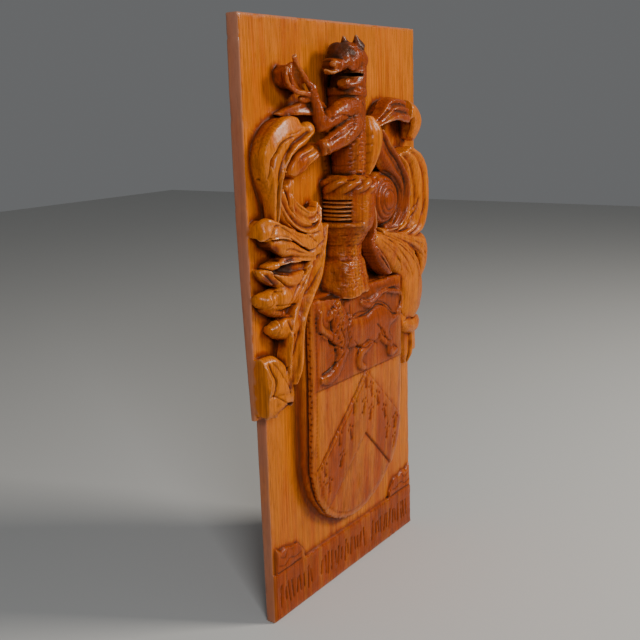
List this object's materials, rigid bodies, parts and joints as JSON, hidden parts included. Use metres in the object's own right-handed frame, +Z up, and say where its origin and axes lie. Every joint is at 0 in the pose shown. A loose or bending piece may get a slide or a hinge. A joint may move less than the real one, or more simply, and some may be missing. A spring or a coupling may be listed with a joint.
{
  "type": "carved coat of arms panel",
  "caption": "Upright wooden wall panel carved in high relief with a shield, barred helmet, twisted roll, demi-beast crest, leafy mantling and a motto band.",
  "frame": {"origin": "centre of the flat back face, at half the panel's height, where it lies against the wall", "axes": "+Z up, -Y out of the wall towards the viewer, +X to the right seen from the front"},
  "size_m": [0.504, 0.0953, 0.95],
  "materials": {
    "carved_wood": "satin varnish over brown stain, darker on the helmet, roll and crest"
  },
  "bodies": {
    "root": {"carved_panel": "carved_wood"}
  },
  "joints": []
}
